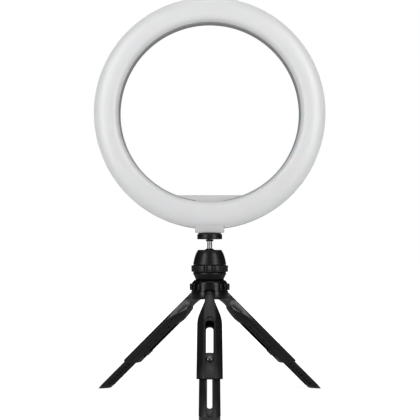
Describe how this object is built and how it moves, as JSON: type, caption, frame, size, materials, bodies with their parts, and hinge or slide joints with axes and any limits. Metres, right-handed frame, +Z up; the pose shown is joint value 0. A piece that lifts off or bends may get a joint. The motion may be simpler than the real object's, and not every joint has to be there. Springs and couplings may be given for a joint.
{
  "type": "ring light on mini tripod",
  "caption": "Desktop ring light with a milky front, on a small ball head and three folding, extending tripod legs.",
  "frame": {"origin": "bottom centre of the bounding box, on the surface that the feet stand on", "axes": "+Z up, -Y towards the lit front of the ring, +X to the right as seen from the front"},
  "size_m": [0.2656, 0.2338, 0.4486],
  "materials": {
    "black_plastic": "satin moulded",
    "black_rubber": "matte",
    "grey_plastic": "fine texture",
    "milky_plastic": "translucent satin",
    "steel": "turned",
    "brass": "turned",
    "circuit_board": "white solder mask",
    "nylon": "natural"
  },
  "bodies": {
    "base": {"hub_body": "black_plastic", "hub_crown": "black_plastic", "hub_nut": "steel", "head_stud": "steel", "ball_base": "black_plastic", "ball_housing": "black_plastic", "pivot_pin_1": "steel", "pivot_pin_2": "steel", "pivot_pin_3": "steel"},
    "lock_ring": {"ball_lock_ring": "black_plastic"},
    "clamp": {"pressure_ring": "steel"},
    "ball_seat": {"ball_cup": "nylon"},
    "head": {"ball": "black_plastic", "stem": "steel", "stem_collar": "black_plastic", "platform": "black_plastic", "platform_pad": "black_rubber", "camera_screw": "steel"},
    "light": {"diffuser": "milky_plastic", "rear_housing": "grey_plastic", "mount_bracket": "grey_plastic", "led_board": "circuit_board", "driver_board": "circuit_board", "power_inlet": "steel", "tripod_insert": "brass", "accessory_insert": "brass", "housing_screw_1": "steel", "housing_screw_2": "steel", "housing_screw_3": "steel", "housing_screw_4": "steel", "housing_screw_5": "steel", "housing_screw_6": "steel"},
    "leg_1": {"leg_shell_1": "black_plastic", "leg_cover_1": "black_plastic"},
    "extension_1": {"leg_extension_1": "black_plastic", "foot_pad_1": "black_rubber", "slide_grip_1": "black_plastic", "button_spring_1": "steel"},
    "button_1": {"lock_button_1": "black_plastic"},
    "leg_2": {"leg_shell_2": "black_plastic", "leg_cover_2": "black_plastic"},
    "extension_2": {"leg_extension_2": "black_plastic", "foot_pad_2": "black_rubber", "slide_grip_2": "black_plastic", "button_spring_2": "steel"},
    "button_2": {"lock_button_2": "black_plastic"},
    "leg_3": {"leg_shell_3": "black_plastic", "leg_cover_3": "black_plastic"},
    "extension_3": {"leg_extension_3": "black_plastic", "foot_pad_3": "black_rubber", "slide_grip_3": "black_plastic", "button_spring_3": "steel"},
    "button_3": {"lock_button_3": "black_plastic"}
  },
  "joints": [
    {"name": "lock_ring_turn", "type": "hinge", "parent": "base", "child": "lock_ring", "pos_m": [0, 0.03457, 0.1444], "axis": [0, 0, 1], "range_deg": [0, 120]},
    {"name": "clamp_lift", "type": "slide", "parent": "base", "child": "clamp", "axis": [0, 0, 1], "range_m": [-0.0005, 0]},
    {"name": "ball_pan", "type": "hinge", "parent": "base", "child": "ball_seat", "pos_m": [0, 0.03457, 0.1594], "axis": [0, 0, 1], "continuous": true},
    {"name": "ball_tilt", "type": "hinge", "parent": "ball_seat", "child": "head", "pos_m": [0, 0.03457, 0.1594], "axis": [1, 0, 0], "range_deg": [-28, 28]},
    {"name": "light_turn", "type": "hinge", "parent": "head", "child": "light", "pos_m": [0, 0.03457, 0.1846], "axis": [0, 0, 1], "continuous": true},
    {"name": "leg_1_fold", "type": "hinge", "parent": "base", "child": "leg_1", "pos_m": [0, 0.02007, 0.1166], "axis": [1, 0, 0], "range_deg": [0, 48.4]},
    {"name": "leg_1_slide", "type": "slide", "parent": "leg_1", "child": "extension_1", "axis": [0, 0.7478, 0.6639], "range_m": [0, 0.047]},
    {"name": "leg_1_button", "type": "slide", "parent": "extension_1", "child": "button_1", "axis": [0, 0.6639, -0.7478], "range_m": [0, 0.0015], "stiffness_N_per_m": 500, "springref_m": -0.002, "deforming": ["button_spring_1"]},
    {"name": "leg_2_fold", "type": "hinge", "parent": "base", "child": "leg_2", "pos_m": [0.01256, 0.04182, 0.1166], "axis": [-0.5, 0.866, 0], "range_deg": [0, 48.4]},
    {"name": "leg_2_slide", "type": "slide", "parent": "leg_2", "child": "extension_2", "axis": [-0.6476, -0.3739, 0.6639], "range_m": [0, 0.047]},
    {"name": "leg_2_button", "type": "slide", "parent": "extension_2", "child": "button_2", "axis": [-0.575, -0.332, -0.7478], "range_m": [0, 0.0015], "stiffness_N_per_m": 500, "springref_m": -0.002, "deforming": ["button_spring_2"]},
    {"name": "leg_3_fold", "type": "hinge", "parent": "base", "child": "leg_3", "pos_m": [-0.01256, 0.04182, 0.1166], "axis": [-0.5, -0.866, 0], "range_deg": [0, 48.4]},
    {"name": "leg_3_slide", "type": "slide", "parent": "leg_3", "child": "extension_3", "axis": [0.6476, -0.3739, 0.6639], "range_m": [0, 0.047]},
    {"name": "leg_3_button", "type": "slide", "parent": "extension_3", "child": "button_3", "axis": [0.575, -0.332, -0.7478], "range_m": [0, 0.0015], "stiffness_N_per_m": 500, "springref_m": -0.002, "deforming": ["button_spring_3"]}
  ],
  "couplings": [
    {"joint": "clamp_lift", "follows": "lock_ring_turn", "m_per_rad": -0.0002385}
  ]
}
